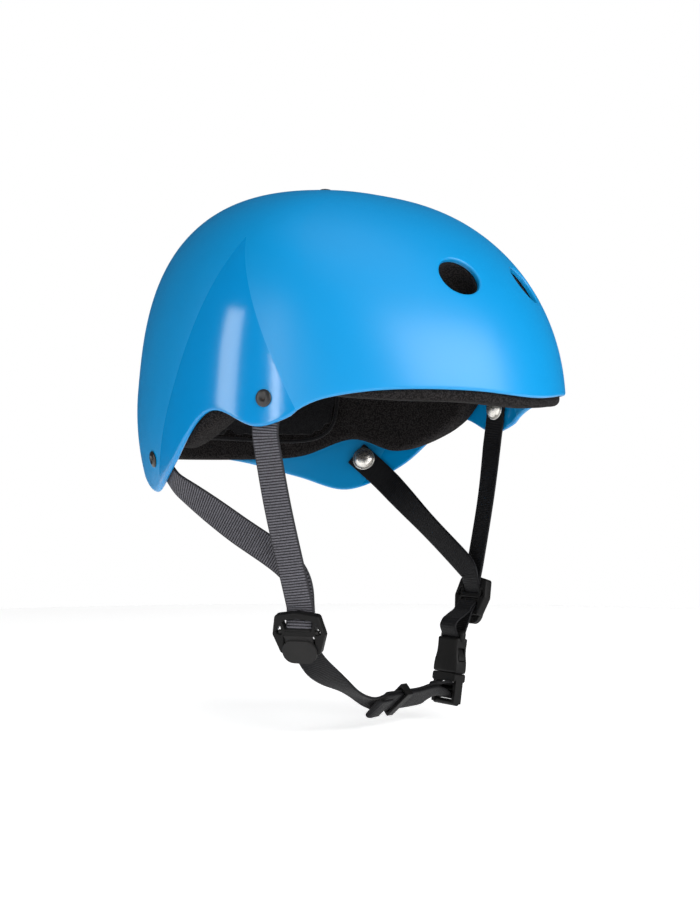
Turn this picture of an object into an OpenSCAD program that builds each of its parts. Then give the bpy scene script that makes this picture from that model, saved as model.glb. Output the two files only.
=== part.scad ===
// Water-sports helmet: hard shell, foam liner, comfort pads, riveted webbing harness,
// two strap dividers with locking levers, and a side-release chin buckle.
// Front is -Y, the wearer's left is +X and up is +Z. Millimetres.
// The origin is the centre of the head opening, level with the brow.

/* [Shell] */
// Mean radius of the shell, seen from above
plan_r = 114.6; // [108:0.1:122]
// Share by which the plan is drawn out from front to back
plan_oval = 0.094; // [0.07:0.001:0.11]
// Share by which the plan is fuller at the front
plan_egg = 0.019; // [0:0.001:0.03]
// Share taken off the plan's four diagonals
plan_corner = 0.015; // [0:0.001:0.03]
// Height of the dome above the brow level
dome_h = 119.3; // [112:0.1:126]
// Forward tilt of the dome, in degrees
dome_tilt = 7; // [4:0.5:9]
// Shell wall
shell_t = 3; // [2.5:0.1:3.5]

/* [Liner and pads] */
// Foam liner thickness
liner_t = 14; // [10:0.5:15]
// Comfort pad thickness
pad_t = 7; // [4:0.5:8]
// Diameter of a vent
vent_d = 23; // [18:0.5:26]

/* [Harness] */
// Webbing width
web_w = 15; // [13:0.5:16]
// Webbing thickness
web_t = 1.4; // [1:0.1:1.6]
// Place of the left strap divider
divider_at = [73.5, -34, -105];
// How much lower the right divider is set
right_drop = 11; // [8:1:14]
// Width of a strap divider
divider_w = 29; // [27:0.5:31]
// Diameter of a strap rivet's outer head
rivet_head_d = 10; // [9:0.5:11]
// Diameter of a rivet's inner cap
rivet_cap_d = 14; // [12:0.5:14]

/* [Buckle] */
// Place of the buckle's parting plane
buckle_at = [55, -31.5, -146];
// Width of the buckle
buckle_w = 22; // [21:0.5:23]
// Thickness of the buckle
buckle_t = 7.6; // [7:0.1:8]
// Height of the socket's body
socket_h = 19; // [18:0.5:20]

/* [Hidden] */
$fn = 48;

shell_blue = [0.02, 0.55, 0.86];
foam_black = [0.10, 0.10, 0.10];
pad_black = [0.06, 0.06, 0.06];
web_black = [0.08, 0.08, 0.09];
plastic_black = [0.05, 0.05, 0.05];
nickel = [0.75, 0.74, 0.72];

air = 0.3;                      // gap kept between separate pieces
skirt_h = 182;                  // height scale of the wall below the brow level
skirt_tuck = 2.1;               // how fast that wall turns inwards
side_power = 0.72;              // squareness of the dome seen from the front
front_power = 1;                // and of its forehead
rear_power = 0.72;              // and of its back
station = 18;                   // degrees between two stations of a rim, brow to nape
shell_rim = [9.5, 9.7, 7.4, 3.1, -2.2, -0.9, -10.8, -16.5, -15, -13, -12.4];
liner_rim = [7.1, 7.2, 5.3, 3.8, 4.2, -3.4, -7.8, -6.6, -10.8, -12.2, -12.6];
crown_pad_rim = [for (i = [0:10]) 66];

front_rivet = [71.3, 1.4];      // places on the dome: turn from the brow, then elevation
rear_rivet = [121.2, -10.6];
crown_stud = [180, 83];
vents = [[17, 40], [-17, 40], [150, 47], [-150, 47]];
liner_depth = shell_t + air;
pad_depth = liner_depth + liner_t + 0.6;
tab_gap = 0.9;                  // room between the shell and a strap's flat end
web_depth = shell_t + tab_gap + web_t / 2;
stem_r = 2.2;

lean = 16;                      // the harness hangs inwards by this angle
yaw = 18;                       // its hardware turns its front edge inwards by this angle
buckle_lean = 8;
divider_t = 4.6;
left_merge = 24;                // height over its divider at which a rear strap turns down
right_merge = 32;
lever_pivot = [0.6, 0, 1.5];    // in the divider's own frame: outwards, rearwards, up
lever_pin_r = 1.2;
fit = 0.06;                     // radial play of a pin in its hole

// ---- smooth curves ----------------------------------------------------------

function hermite(a, b, c, d, u) =
    (2 * u^3 - 3 * u^2 + 1) * b + (u^3 - 2 * u^2 + u) * (c - a) / 2
    + (3 * u^2 - 2 * u^3) * c + (u^3 - u^2) * (d - b) / 2;

// A height that is level at the brow and the nape and the same on both sides
function rim_station(k, j) = k[j < 0 ? -j : j > 10 ? 20 - j : j];
function rim_at(k, t) =
    let (a = abs(t - 360 * floor((t + 180) / 360)) / station, i = min(floor(a), 9))
    hermite(rim_station(k, i - 1), rim_station(k, i), rim_station(k, i + 1),
        rim_station(k, i + 2), a - i);

// A smooth run through control points, with n steps from each one to the next
function smooth(c, n) = [
    for (i = [0:len(c) - 2], j = [0:n - 1])
        hermite(c[max(i - 1, 0)], c[i], c[i + 1], c[min(i + 2, len(c) - 1)], j / n),
    c[len(c) - 1]];

function unit(v) = v / norm(v);

// ---- the dome's skin --------------------------------------------------------

function plan(t) = plan_r * (1 + plan_egg * cos(t) + plan_oval * cos(2 * t) + plan_corner * cos(4 * t));
function power(t) = side_power * sin(t)^2 + (cos(t) > 0 ? front_power : rear_power) * cos(t)^2;
function spread(t, p) = p < 0 ? 1 - skirt_tuck * (1 - cos(p)) : max(cos(p), 0)^power(t);
function rise(t, p, depth) = p < 0 ? skirt_h * sin(p) : (dome_h - depth) * sin(p)^power(t);

// The point at turn t and elevation p, at a depth inside the shell's outer face
function skin(t, p, depth = 0) =
    let (r = (plan(t) - depth) * spread(t, p), z = rise(t, p, depth), y = -r * cos(t))
    [r * sin(t), y * cos(dome_tilt) - z * sin(dome_tilt), y * sin(dome_tilt) + z * cos(dome_tilt)];

function skin_normal(t, p) =
    unit(cross(skin(t + 0.2, p) - skin(t - 0.2, p), skin(t, p + 0.2) - skin(t, p - 0.2)));

// Puts its children on the skin, with their Z axis pointing out of it
module on_skin(place) {
    n = skin_normal(place[0], place[1]);
    translate(skin(place[0], place[1])) rotate([0, acos(n[2]), atan2(n[1], n[0])]) children();
}

module both_sides() {
    children();
    mirror([1, 0, 0]) children();
}

// ---- meshes -----------------------------------------------------------------

// Two triangles between neighbouring rows a and b of a grid
function quad(a, b, i, j) = [[a + i, a + j, b + j], [a + i, b + j, b + i]];

// A dome between two depths, open below its rim, with closer rows near the rim
module dome(rim, outer, inner, turns, rows) {
    function ring(depth, k) = [for (i = [0:turns - 1])
        let (t = i * 360 / turns, low = rim_at(rim, t))
        skin(t, low + (90 - low) * (k / rows)^1.3, depth)];
    function flip(f, yes) = yes ? [f[0], f[2], f[1]] : f;
    face = turns * rows + 1;
    points = [for (depth = [outer, inner]) each
        [for (k = [0:rows - 1]) each ring(depth, k), skin(0, 90, depth)]];
    walls = [for (s = [0, 1], k = [0:rows - 2], i = [0:turns - 1],
        f = quad(s * face + k * turns, s * face + (k + 1) * turns, i, (i + 1) % turns)) flip(f, s == 0)];
    tops = [for (s = [0, 1], i = [0:turns - 1])
        flip([s * face + (rows - 1) * turns + i, s * face + (rows - 1) * turns + (i + 1) % turns,
            s * face + turns * rows], s == 0)];
    edge = [for (i = [0:turns - 1], f = quad(0, face, i, (i + 1) % turns)) f];
    polyhedron(points, concat(walls, tops, edge));
}

// A curved pad lying on the dome between two turns and two elevations
module pad(t0, t1, p0, p1, columns, rows) {
    w = columns + 1;
    size = w * (rows + 1);
    points = [for (depth = [pad_depth, pad_depth + pad_t], k = [0:rows], i = [0:columns])
        skin(t0 + (t1 - t0) * i / columns, p0 + (p1 - p0) * k / rows, depth)];
    outer = [for (k = [0:rows - 1], i = [0:columns - 1], f = quad(k * w, (k + 1) * w, i, i + 1))
        [f[0], f[2], f[1]]];
    inner = [for (k = [0:rows - 1], i = [0:columns - 1],
        f = quad(size + k * w, size + (k + 1) * w, i, i + 1)) f];
    border = concat([for (i = [0:columns - 1]) i], [for (k = [0:rows - 1]) k * w + columns],
        [for (i = [columns:-1:1]) rows * w + i], [for (k = [rows:-1:1]) k * w]);
    n = len(border);
    sides = [for (m = [0:n - 1]) let (a = border[m], b = border[(m + 1) % n])
        each [[a, b, size + b], [a, size + b, size + a]]];
    polyhedron(points, concat(outer, inner, sides));
}

// Webbing swept along stations, each a centre and the direction of its width
module ribbon(run, w = web_w) {
    last = len(run) - 1;
    points = [for (i = [0:last])
        let (along = run[min(i + 1, last)][0] - run[max(i - 1, 0)][0], across = unit(run[i][1]),
            n = unit(cross(along, across)) * web_t / 2, side = across * w / 2)
        each [run[i][0] - side - n, run[i][0] + side - n, run[i][0] + side + n, run[i][0] - side + n]];
    sides = [for (i = [0:last - 1], k = [0:3]) each quad(i * 4, i * 4 + 4, k, (k + 1) % 4)];
    ends = [[0, 2, 3], [0, 1, 2], [last * 4, last * 4 + 2, last * 4 + 1],
        [last * 4, last * 4 + 3, last * 4 + 2]];
    polyhedron(points, concat([for (f = sides) [f[0], f[2], f[1]]], ends));
}

// A convex outline with round corners, from corner centres in anticlockwise order
function outward(a, b) = atan2(a[0] - b[0], b[1] - a[1]);
function turned(a, b) = b < a ? turned(a, b + 360) : b;
function rounded(c, r) = let (n = len(c)) [for (i = [0:n - 1])
    let (a = outward(c[(i + n - 1) % n], c[i]), b = turned(a, outward(c[i], c[(i + 1) % n])))
    for (k = [0:6]) c[i] + r * [cos(a + (b - a) * k / 6), sin(a + (b - a) * k / 6)]];

// An outline in the frame's rearwards-up plane, given thickness outwards from x0
module plate(outline, x0, t) {
    translate([x0, 0, 0]) rotate([90, 0, 90]) linear_extrude(t) polygon(outline);
}

// ---- shell, liner and pads --------------------------------------------------

module vent_cuts(d) {
    for (v = vents) on_skin(v) translate([0, 0, -30]) cylinder(d = d, h = 45);
}

module outer_shell() {
    color(shell_blue) difference() {
        dome(shell_rim, 0, shell_t, 72, 20);
        vent_cuts(vent_d);
        for (place = [front_rivet, rear_rivet]) both_sides()
            on_skin(place) translate([0, 0, -8]) cylinder(r = stem_r + 0.1, h = 12);
        on_skin(crown_stud) translate([0, 0, -8]) cylinder(r = stem_r + 0.1, h = 12);
    }
}

module foam_liner() {
    color(foam_black) difference() {
        dome(liner_rim, liner_depth, liner_depth + liner_t, 72, 18);
        vent_cuts(vent_d - 1);
        on_skin(crown_stud) translate([0, 0, -14]) cylinder(r = stem_r + 0.3, h = 16);
    }
}

module brow_pad() { color(pad_black) pad(-52, 52, 10, 26, 18, 4); }
module nape_pad() { color(pad_black) pad(132, 228, -9, 16, 24, 8); }
module left_side_pad() { color(pad_black) pad(66, 116, 12, 34, 10, 5); }
module right_side_pad() { color(pad_black) mirror([1, 0, 0]) pad(66, 116, 12, 34, 10, 5); }
module crown_pad() { color(pad_black) dome(crown_pad_rim, pad_depth, pad_depth + pad_t, 36, 4); }

// ---- rivets and the riveted ends of the webbing -----------------------------

module rivet() {
    rotate_extrude() polygon([[0, -7.6], [stem_r, -7.6], [stem_r, 0.2], [rivet_head_d / 2, 0.2],
        [rivet_head_d / 2, 0.8], for (a = [15:15:90]) [rivet_head_d / 2 * cos(a), 0.8 + 1.4 * sin(a)]]);
}

module strap_rivets() {
    color(plastic_black) for (place = [front_rivet, rear_rivet]) both_sides() on_skin(place) rivet();
}

// Nickel cap with a hollow middle, seated on the webbing inside the shell
module rivet_cap() {
    seat = -(web_depth + web_t / 2 + 0.6);
    rotate_extrude() polygon([[stem_r + 0.1, seat], [rivet_cap_d / 2, seat],
        [rivet_cap_d / 2, seat - 0.8], [rivet_cap_d / 2 - 2.4, seat - 2.6],
        [stem_r + 1.2, seat - 3], [stem_r + 0.1, seat - 3]]);
}

module rivet_caps() {
    color(nickel) for (place = [front_rivet, rear_rivet]) both_sides() on_skin(place) rivet_cap();
}

module crown_rivet() {
    color(nickel) on_skin(crown_stud) rotate_extrude()
        polygon([[0, -12], [stem_r, -12], [stem_r, 0.3], [4.6, 0.3],
            for (a = [0:15:90]) [4.6 * cos(a), 0.6 + 2.2 * sin(a)]]);
}

// A run of webbing flat against the inside of the shell, through places on the skin
function tab_run(places) = let (pts = [for (q = places) skin(q[0], q[1], web_depth)])
    [for (i = [0:len(pts) - 1]) [pts[i],
        cross(skin_normal(places[i][0], places[i][1]),
            pts[min(i + 1, len(pts) - 1)] - pts[max(i - 1, 0)])]];

front_tab = tab_run([for (k = [0:4]) [front_rivet[0], 2.9 - 1.475 * k]]);
rear_tab = tab_run([for (k = [0:4]) rear_rivet + (0.925 * k - 1) * [-3.4, -1.25]]);

module strap_tabs() {
    color(web_black) difference() {
        both_sides() { ribbon(front_tab); ribbon(rear_tab); }
        for (place = [front_rivet, rear_rivet]) both_sides()
            on_skin(place) translate([0, 0, -9]) cylinder(r = stem_r + 0.1, h = 8);
    }
}

// ---- harness ----------------------------------------------------------------

// A direction given as outwards, rearwards and up on hardware that leans, in the helmet's frame
function posed(v, tip) = let (x = v[0] * cos(tip) + v[2] * sin(tip), z = v[2] * cos(tip) - v[0] * sin(tip))
    [x * cos(yaw) + v[1] * sin(yaw), v[1] * cos(yaw) - x * sin(yaw), z];
function hung(v) = posed(v, lean);
function on_divider(drop, v) = divider_at - [0, 0, drop] + hung(v);
module at_divider(drop) { translate(divider_at - [0, 0, drop]) rotate([0, lean, -yaw]) children(); }

web_seat = -(divider_t / 2 + web_t / 2 + air);      // the front webbing lies behind the frame
rear_seat = web_seat - web_t - air;                 // and the rear webbing behind that

function tail_of(tab) = tab[len(tab) - 1];
function start_after(tab, gap) = let (a = tab[len(tab) - 2][0], b = tail_of(tab)[0]) b + unit(b - a) * gap;
function paired(run) = [for (q = run) [[q[0], q[1], q[2]], [q[3], q[4], q[5]]]];
function six(p, w) = [p[0], p[1], p[2], w[0], w[1], w[2]];

module front_strap(drop) {
    top = start_after(front_tab, 1.2);
    foot = on_divider(drop, [web_seat, 0, 2]);
    neck = on_divider(drop, [web_seat, 0, 16]);
    across = -unit(tail_of(front_tab)[1]);
    mid = top + (neck - top) * 0.45 + [1.5, 0, 0];
    ribbon(paired(smooth([six(top, across), six(mid, hung([0, -1, 0])), six(neck, hung([0, -1, 0])),
        six(foot, hung([0, -1, 0]))], 8)));
}

module rear_strap(drop, merge_up) {
    top = start_after(rear_tab, 1.2);
    foot = on_divider(drop, [rear_seat, 0, 2]);
    neck = on_divider(drop, [rear_seat - 0.4, 0, merge_up * 0.45]);
    merge = on_divider(drop, [rear_seat - 2.6, 4, merge_up]);
    start_w = unit(tail_of(rear_tab)[1]);
    slant = unit(cross(merge - top, [1, 0, 0.2]));
    across = slant * start_w > 0 ? slant : -slant;
    ribbon(paired(smooth([six(top, start_w), six(top + (merge - top) * 0.5, across),
        six(merge, unit(across + hung([0, -1, 0]) * 1.2)), six(neck, hung([0, -1, 0])),
        six(foot, hung([0, -1, 0]))], 7)));
}

divider_corners = [[-9.5, -8], [9.5, -8], [divider_w / 2 - 2, 0.5], [divider_w / 2 - 4, 9],
    [0, 10.5], [4 - divider_w / 2, 9], [2 - divider_w / 2, 0.5]];
slot_corners = [[1 - web_w / 2, 3.6], [web_w / 2 - 1, 3.6], [web_w / 2, 7], [0, 8], [-web_w / 2, 7]];
lever_window = [[-8, -6.5], [8, -6.5], [8, -1], [-8, -1]];

// Five-sided plastic frame: the webbing passes its upper slot, the lever sits in the lower window
module divider_frame() {
    difference() {
        plate(rounded(divider_corners, 2), -divider_t / 2, divider_t);
        plate(rounded(slot_corners, 1), -divider_t, divider_t * 2);
        plate(rounded(lever_window, 0.6), -divider_t, divider_t * 2);
        translate([divider_t / 2 - 1.4, -10, -20]) cube([4, 20, 18.4]);
        translate(lever_pivot) rotate([90, 0, 0]) cylinder(r = lever_pin_r + fit, h = 24, center = true);
        translate([-divider_t, -8.6, lever_pivot[2] - 2.1]) cube([divider_t * 2, 17.2, 4.2]);
    }
}

// Locking lever: a barrel on its pin, and an oval thumb plate that hides the window
module divider_lever() {
    translate(lever_pivot) rotate([90, 0, 0]) cylinder(r = lever_pin_r, h = 22, center = true);
    translate(lever_pivot) rotate([90, 0, 0]) cylinder(r = 1.7, h = 16.4, center = true);
    plate([[-7.6, -7], [7.6, -7], [7.6, 1.5], [-7.6, 1.5]], 0.9, 1.2);
    plate(rounded([[-3.6, -8.6], [3.6, -8.6], [3.6, -8.4], [-3.6, -8.4]], 5.9), divider_t / 2 - 1.1, 2.2);
}

module left_front_strap() { color(web_black) front_strap(0); }
module left_rear_strap() { color(web_black) rear_strap(0, left_merge); }
module left_divider_frame() { color(plastic_black) at_divider(0) divider_frame(); }
module left_divider_lever() { color(plastic_black) at_divider(0) divider_lever(); }
module right_front_strap() { color(web_black) mirror([1, 0, 0]) front_strap(right_drop); }
module right_rear_strap() { color(web_black) mirror([1, 0, 0]) rear_strap(right_drop, right_merge); }
module right_divider_frame() {
    color(plastic_black) mirror([1, 0, 0]) at_divider(right_drop) divider_frame();
}
module right_divider_lever() {
    color(plastic_black) mirror([1, 0, 0]) at_divider(right_drop) divider_lever();
}

// ---- chin strap -------------------------------------------------------------

// The right divider's lower end, where the chin strap starts
chin_root = let (p = on_divider(right_drop, [web_seat - air, 0, -9])) [-p[0], p[1], p[2]];
chin_root_w = let (w = hung([0, -1, 0])) [-w[0], w[1], w[2]];
keeper_at = [8, -31.5, -157];
flat = unit([-0.16, -0.72, 0.62]);  // the doubled webbing is turned part way on edge
facing = unit(cross([1, 0, 0], flat));
along_x = [-0.3, -0.95, 0.1];       // its width where it enters the buckle

// A station of the doubled webbing: layer 1 leads to the buckle and layer -1 is the tail
function doubled(x, layer, lift = 0) =
    six([x, keeper_at[1], keeper_at[2] + lift] - facing * layer * (web_t / 2 + 0.2), flat);

module chin_strap() {
    color(web_black) ribbon(paired(smooth([six(chin_root, chin_root_w),
        six([-60, -33, -133], [-0.1, -0.98, 0.1]), six([-47, -32, -141], [-0.15, -0.9, 0.4]),
        doubled(-31, 1, 8), doubled(-13, 1, 1.8), doubled(-6, 1)], 6)));
}

module chin_strap_lead() {
    color(web_black) ribbon(paired(smooth([doubled(-5.4, 1), doubled(8, 1), doubled(22, 1),
        doubled(36, 1, 1.6), six([49, -31.5, -151.2], along_x)], 6)));
}

module chin_strap_tail() {
    color(web_black) ribbon(paired(smooth([doubled(-12, -1, -1.5), doubled(8, -1), doubled(22, -1),
        doubled(36, -1, 0.7), six([47, -31.5, -160.6], along_x)], 6)));
}

// Plastic loop round both layers of the chin strap
module strap_keeper() {
    loop_t = 2 * web_t + 1.8;
    color(plastic_black) translate(keeper_at) rotate([-atan2(flat[2], -flat[1]), 0, 0]) difference() {
        cube([5, web_w + 4.6, loop_t + 2.8], center = true);
        cube([9, web_w + 1.6, loop_t], center = true);
    }
}

// ---- buckle -----------------------------------------------------------------

module at_buckle() { translate(buckle_at) rotate([0, buckle_lean, -yaw]) children(); }
function on_buckle(v) = buckle_at + posed(v, buckle_lean);

half_w = buckle_w / 2;
rail_w = 2.6;
bar_r = 1.5;
socket_bar_z = socket_h + 3.2;
prong_y = 6.2;
prong_z = -0.9;
prong_r = 1.4;

module buckle_socket() {
    corners = [[1.5 - half_w, 1.5], [half_w - 1.5, 1.5], [half_w - 1.5, socket_h - 1.5],
        [1.5 - half_w, socket_h - 1.5]];
    color(plastic_black) at_buckle() difference() {
        union() {
            plate(rounded(corners, 1.5), -buckle_t / 2, buckle_t);
            for (s = [-1, 1]) translate([-2.2, s * (half_w - rail_w / 2) - rail_w / 2, socket_h - 2])
                cube([4.4, rail_w, 7]);
            translate([0, 0, socket_bar_z]) rotate([90, 0, 0])
                cylinder(r = bar_r, h = buckle_w - 1, center = true);
        }
        translate([-2.3, 2 - half_w, -1]) cube([4.6, buckle_w - 4, 16.4]);
        for (s = [-1, 1]) translate([-2.3, s * half_w - 4, 6.4]) cube([4.6, 8, 8]);
    }
}

module buckle_plug() {
    color(plastic_black) at_buckle() difference() {
        union() {
            plate(rounded([[1.5 - half_w, -3.6], [half_w - 1.5, -3.6], [half_w - 1.5, -1.7],
                [1.5 - half_w, -1.7]], 1.4), -buckle_t / 2 + 0.2, buckle_t - 0.4);
            translate([-1.7, -1.8, -1]) cube([3.4, 3.6, 13]);
            for (s = [-1, 1]) translate([-2.4, s * (half_w - rail_w / 2) - rail_w / 2, -17])
                cube([4.8, rail_w, 14]);
            for (z = [-9.4, -16.4]) translate([0, 0, z]) rotate([90, 0, 0])
                cylinder(r = 1.7, h = buckle_w - 1, center = true);
        }
        for (s = [-1, 1]) translate([0, s * prong_y, prong_z]) rotate([0, 90, 0])
            cylinder(r = prong_r + fit, h = 5, center = true);
    }
}

// Sprung side prong: a round root in the plug, an arm, and a barb in the socket's window
module prong(s) {
    color(plastic_black) at_buckle() rotate([0, 0, s < 0 ? 180 : 0]) {
        translate([0, prong_y, prong_z]) rotate([0, 90, 0]) cylinder(r = prong_r, h = 3.8, center = true);
        plate([[prong_y - 1, prong_z], [prong_y + 1, prong_z], [8.6, 7], [10.6, 7], [10.4, 9.5],
            [7.6, 13.6], [5.8, 13.2], [6.8, 8]], -1.9, 3.8);
    }
}

module front_prong() { prong(-1); }
module rear_prong() { prong(1); }

// Webbing that hangs the socket from the left divider, folded round the socket's bar
module socket_loop_strap() {
    wrap = bar_r + web_t / 2 + air;
    bend = [for (a = [45:30:225]) on_buckle([wrap * cos(a), 0, socket_bar_z - wrap * sin(a)])];
    across = on_buckle([0, -1, 0]) - buckle_at;
    outer = on_divider(0, [-1.6, 0, -12.4]);
    inner = on_divider(0, [-4, 0, -12.4]);
    color(web_black) ribbon(concat([[outer, hung([0, -1, 0])]], [for (p = bend) [p, across]],
        [[inner, hung([0, -1, 0])]]));
}

outer_shell();
foam_liner();
brow_pad();
nape_pad();
left_side_pad();
right_side_pad();
crown_pad();
strap_rivets();
rivet_caps();
crown_rivet();
strap_tabs();
left_front_strap();
left_rear_strap();
left_divider_frame();
left_divider_lever();
right_front_strap();
right_rear_strap();
right_divider_frame();
right_divider_lever();
chin_strap();
chin_strap_lead();
chin_strap_tail();
strap_keeper();
socket_loop_strap();
buckle_socket();
buckle_plug();
front_prong();
rear_prong();
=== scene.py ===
import math

import bmesh
import bpy
import numpy as np
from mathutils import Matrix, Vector
from mathutils.geometry import delaunay_2d_cdt


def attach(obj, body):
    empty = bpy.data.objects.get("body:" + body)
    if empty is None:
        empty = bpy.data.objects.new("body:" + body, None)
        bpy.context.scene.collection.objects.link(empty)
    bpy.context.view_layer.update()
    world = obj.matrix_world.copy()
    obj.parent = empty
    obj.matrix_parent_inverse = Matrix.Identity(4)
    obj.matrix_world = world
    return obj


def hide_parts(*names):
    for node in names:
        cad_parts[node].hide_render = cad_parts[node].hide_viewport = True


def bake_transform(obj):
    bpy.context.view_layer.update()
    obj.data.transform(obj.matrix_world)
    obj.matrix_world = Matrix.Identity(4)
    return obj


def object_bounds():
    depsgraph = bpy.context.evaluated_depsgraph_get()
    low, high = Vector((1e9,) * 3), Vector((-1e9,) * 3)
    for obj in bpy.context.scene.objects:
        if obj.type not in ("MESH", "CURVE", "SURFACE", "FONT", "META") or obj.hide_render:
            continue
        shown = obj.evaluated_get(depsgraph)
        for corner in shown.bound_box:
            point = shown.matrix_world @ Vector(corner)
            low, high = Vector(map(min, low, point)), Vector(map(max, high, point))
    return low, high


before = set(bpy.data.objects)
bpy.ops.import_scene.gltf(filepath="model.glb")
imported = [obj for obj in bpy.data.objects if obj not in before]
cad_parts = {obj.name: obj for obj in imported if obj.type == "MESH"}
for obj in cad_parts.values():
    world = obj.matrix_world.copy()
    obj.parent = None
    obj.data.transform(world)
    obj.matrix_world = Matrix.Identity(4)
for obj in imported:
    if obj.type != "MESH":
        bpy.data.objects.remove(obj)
cad_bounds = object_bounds()

# The looks of a water-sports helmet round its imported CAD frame.
# Front is -Y, the wearer's left is +X, up is +Z. Sizes below are millimetres; meshes are made in metres.
MM = 0.001

# The dome's plan, its height and tilt in degrees, its skirt below the widest line, and how round it is.
PLAN_R, PLAN_OVAL, PLAN_EGG, PLAN_CORNER = 114.6, 0.094, 0.019, 0.015
DOME_H, DOME_TILT = 119.3, 7.0
SKIRT_H, SKIRT_TUCK = 182.0, 2.1
SIDE_POWER, FRONT_POWER, REAR_POWER = 0.72, 1.0, 0.72
# Elevations of the rims in degrees, a station apart from the brow round to the nape.
STATION = 18.0
SHELL_RIM = [9.5, 9.7, 7.4, 3.1, -2.2, -0.9, -10.8, -16.5, -15, -13, -12.4]
LINER_RIM = [7.1, 7.2, 5.3, 3.8, 4.2, -3.4, -7.8, -6.6, -10.8, -12.2, -12.6]
CROWN_PAD_RIM = [67.0] * 11
# Thicknesses, and the depths of the layers inside the shell's outer face.
SHELL_T, LINER_T, PAD_T = 3.0, 14.0, 7.0
LINER_DEPTH = SHELL_T + 0.3
PAD_DEPTH = LINER_DEPTH + LINER_T + 0.6
WEB_W, WEB_T = 15.0, 1.4
WEB_DEPTH = SHELL_T + 0.9 + WEB_T / 2
RIB_PITCH = 1.45
# Places on the skin as turn and elevation in degrees.
VENTS = [(17, 40), (-17, 40), (150, 47), (-150, 47)]
VENT_R = 11.5
FRONT_RIVET, REAR_RIVET, CROWN_STUD = (71.3, 1.4), (121.2, -10.6), (180.0, 83.0)

# The harness: the left divider's place, how much lower the right one hangs, how far above each divider
# the rear strap meets the front one, and where the webbing sits behind a divider.
DIVIDER_AT = np.array([73.5, -34, -105])
RIGHT_DROP = 11.0
LEFT_MERGE, RIGHT_MERGE = 17.0, 32.0
DIVIDER_T = 4.6
WEB_SEAT = -(DIVIDER_T / 2 + WEB_T / 2 + 0.3)
REAR_SEAT = WEB_SEAT - WEB_T - 0.3
# How the hardware leans and turns, in degrees.
LEAN, YAW, BUCKLE_LEAN = 16.0, 18.0, 8.0
BUCKLE_AT = np.array([55, -31.5, -146])
KEEPER_AT = np.array([8, -31.5, -157])
MIRROR = np.array([-1.0, 1.0, 1.0])

# The camera, in degrees and metres: it stands back from the origin and is shifted aside and up.
CAMERA_AZIMUTH, CAMERA_ELEVATION, CAMERA_BACK = -49.72, -0.64, 1.0
CAMERA_ASIDE, CAMERA_UP = 0.00383, -0.02147
CAMERA_LENS = 72.56


# ---- camera ----

def make_camera():
    """From the wearer's right front, level with the brow."""
    azimuth, elevation = math.radians(CAMERA_AZIMUTH), math.radians(CAMERA_ELEVATION)
    back = Vector((math.sin(azimuth) * math.cos(elevation),
                   -math.cos(azimuth) * math.cos(elevation), math.sin(elevation)))
    right = Vector((math.cos(azimuth), math.sin(azimuth), 0))
    data = bpy.data.cameras.new("camera")
    data.sensor_width, data.lens = 36, CAMERA_LENS
    camera = bpy.data.objects.new("camera", data)
    bpy.context.scene.collection.objects.link(camera)
    camera.location = back * CAMERA_BACK + right * CAMERA_ASIDE + back.cross(right) * CAMERA_UP
    camera.rotation_mode = "QUATERNION"
    camera.rotation_quaternion = (-back).to_track_quat("-Z", "Y")
    bpy.context.scene.camera = camera


# ---- curves and the dome's skin ----

def unit(v):
    v = np.asarray(v, float)
    return v / np.linalg.norm(v, axis=-1, keepdims=True)


def hermite(a, b, c, d, u):
    """The value a share u of the way from b to c, on a smooth curve through a, b, c and d."""
    return ((2 * u**3 - 3 * u**2 + 1) * b + (u**3 - 2 * u**2 + u) * (c - a) / 2
            + (3 * u**2 - 2 * u**3) * c + (u**3 - u**2) * (d - b) / 2)


def rim_at(stations, turn):
    """The elevation of a rim at a turn; level at the brow and the nape, and the same on both sides."""
    k = np.asarray(stations, float)
    a = np.abs((np.asarray(turn, float) + 180) % 360 - 180) / STATION
    i = np.minimum(np.floor(a).astype(int), 9)

    def station(j):
        j = np.abs(j)
        return k[np.where(j > 10, 20 - j, j)]

    return hermite(station(i - 1), station(i), station(i + 1), station(i + 2), a - i)


def smooth(stations, steps):
    """A smooth run through control points."""
    c = np.asarray(stations, float)
    last = len(c) - 1
    run = [hermite(c[max(i - 1, 0)], c[i], c[i + 1], c[min(i + 2, last)], j / steps)
           for i in range(last) for j in range(steps)]
    return np.array(run + [c[last]])


def plan(t):
    """The dome's radius at a turn in radians, 0 at the brow."""
    return PLAN_R * (1 + PLAN_EGG * np.cos(t) + PLAN_OVAL * np.cos(2 * t) + PLAN_CORNER * np.cos(4 * t))


def power(t):
    """How square the dome's section is at a turn."""
    ends = np.where(np.cos(t) > 0, FRONT_POWER, REAR_POWER)
    return SIDE_POWER * np.sin(t)**2 + ends * np.cos(t)**2


def spread(t, p):
    """The share of the plan's radius that the dome has at an elevation."""
    return np.where(p < 0, 1 - SKIRT_TUCK * (1 - np.cos(p)), np.maximum(np.cos(p), 0)**power(t))


def skin(turn, elevation, depth=0.0):
    """The point of the dome at a turn and an elevation in degrees, at a depth inside the outer face."""
    t, p = np.radians(turn), np.radians(elevation)
    t, p, depth = np.broadcast_arrays(t, p, depth)
    r = (plan(t) - depth) * spread(t, p)
    z = np.where(p < 0, SKIRT_H * np.sin(p), (DOME_H - depth) * np.maximum(np.sin(p), 0)**power(t))
    tilt = math.radians(DOME_TILT)
    y = -r * np.cos(t)
    return np.stack([r * np.sin(t), y * math.cos(tilt) - z * math.sin(tilt),
                     y * math.sin(tilt) + z * math.cos(tilt)], -1)


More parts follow.
